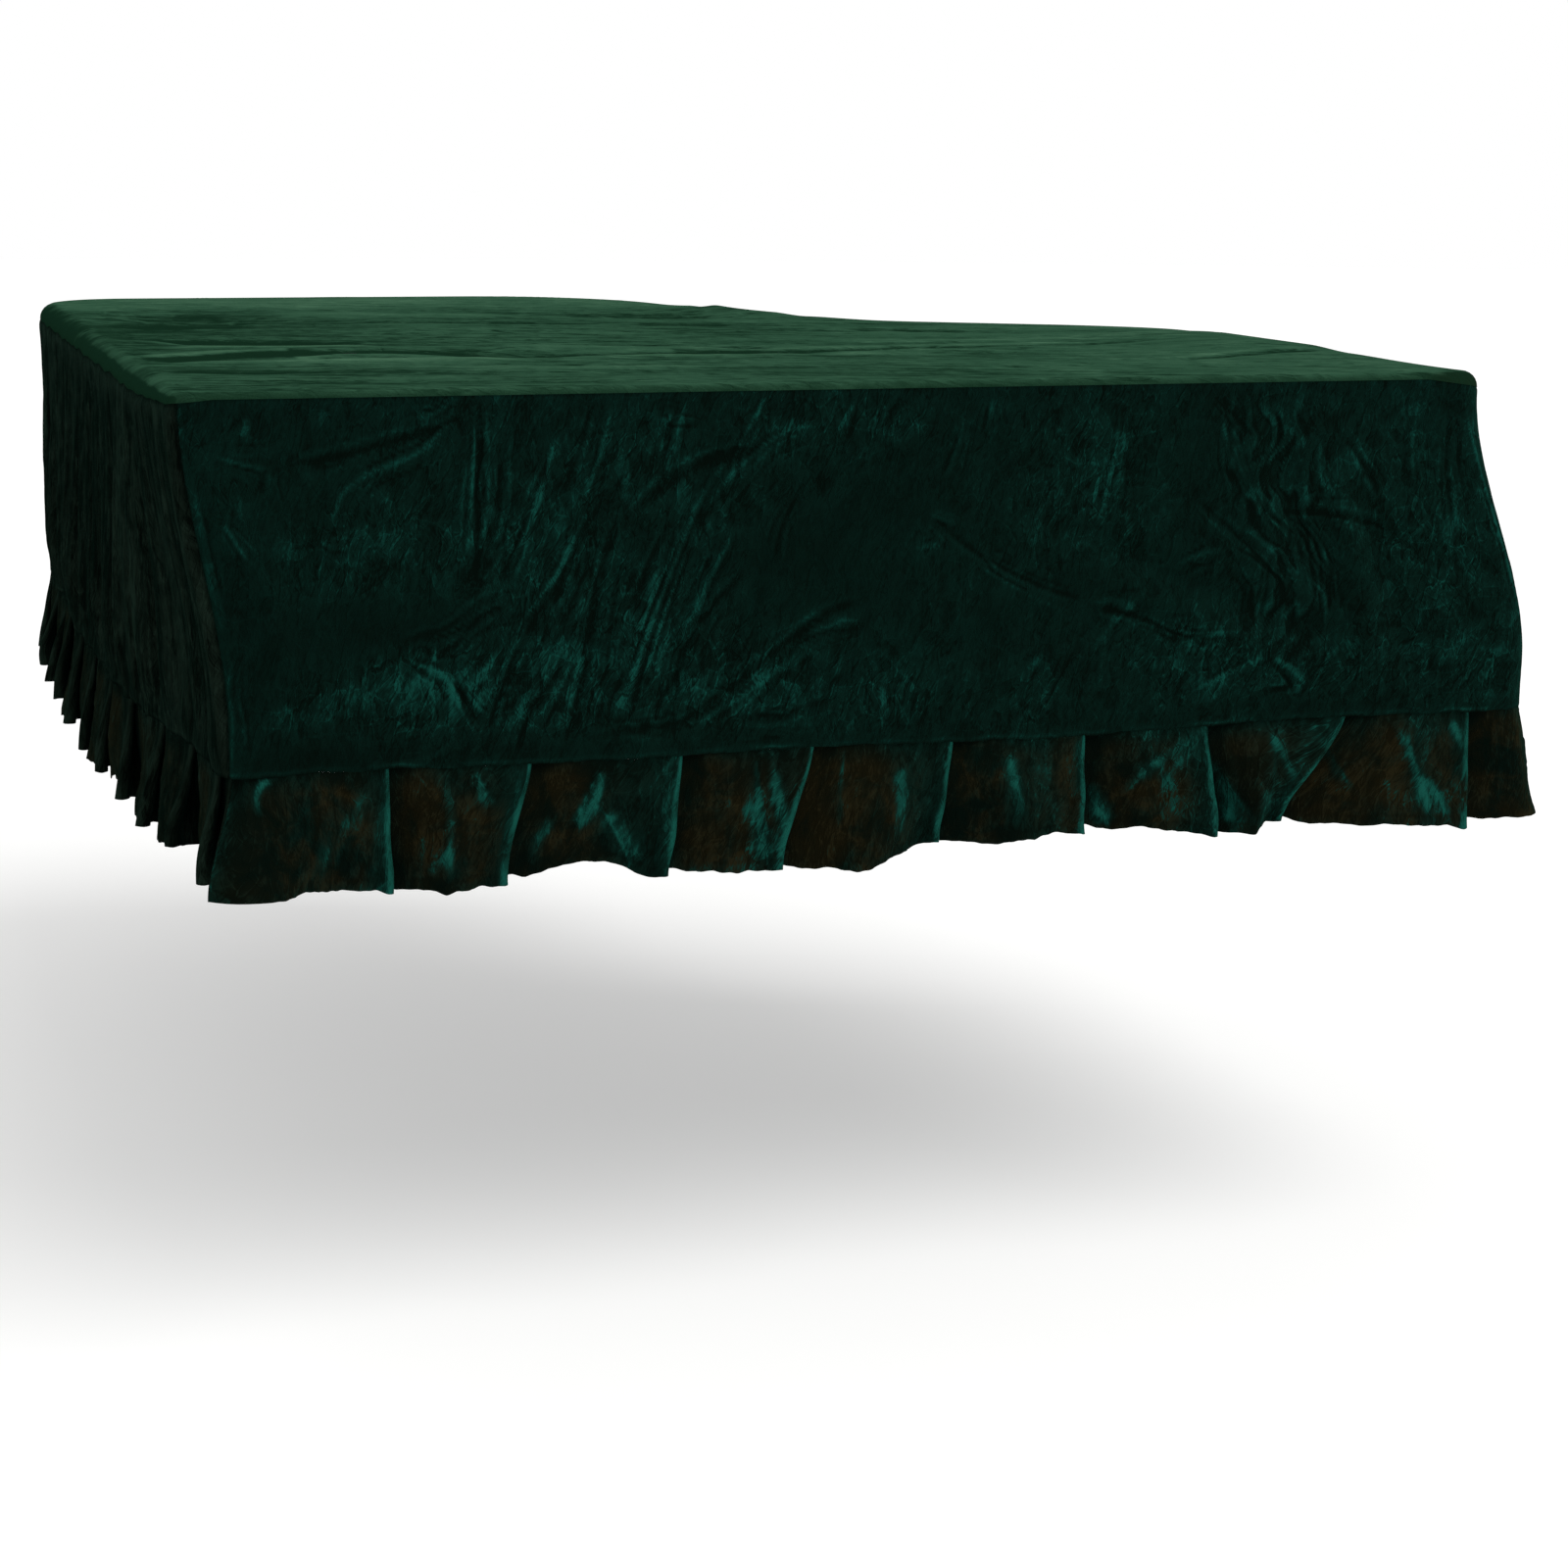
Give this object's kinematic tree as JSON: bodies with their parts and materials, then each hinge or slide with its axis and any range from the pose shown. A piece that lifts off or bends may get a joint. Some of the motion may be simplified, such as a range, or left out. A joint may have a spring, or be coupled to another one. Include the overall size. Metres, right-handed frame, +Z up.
{
  "type": "grand piano cover",
  "caption": "Fitted cloth cover for a grand piano: flat top cut to the piano's plan, hanging drops all round and a knife-pleated frill.",
  "frame": {"origin": "under the top panel, halfway across the keyboard side and halfway along the spine side, where the cover lies on the closed lid", "axes": "+X to the right along the keyboard side, +Y from the keyboard side to the tail, +Z up"},
  "size_m": [1.6713, 1.9114, 0.5584],
  "materials": {
    "velvet_top": "crushed velvet, dark green, pile brushed flat, sheen",
    "velvet_drop": "crushed velvet, dark green with teal lights",
    "velvet_frill": "crushed velvet, dark green, brownish in the flat of the pleats"
  },
  "bodies": {
    "root": {"top_panel": "velvet_top", "front_drop": "velvet_drop", "bentside_drop": "velvet_drop", "left_drop": "velvet_drop", "front_frill": "velvet_frill", "bentside_frill": "velvet_frill", "left_frill": "velvet_frill"}
  },
  "joints": []
}
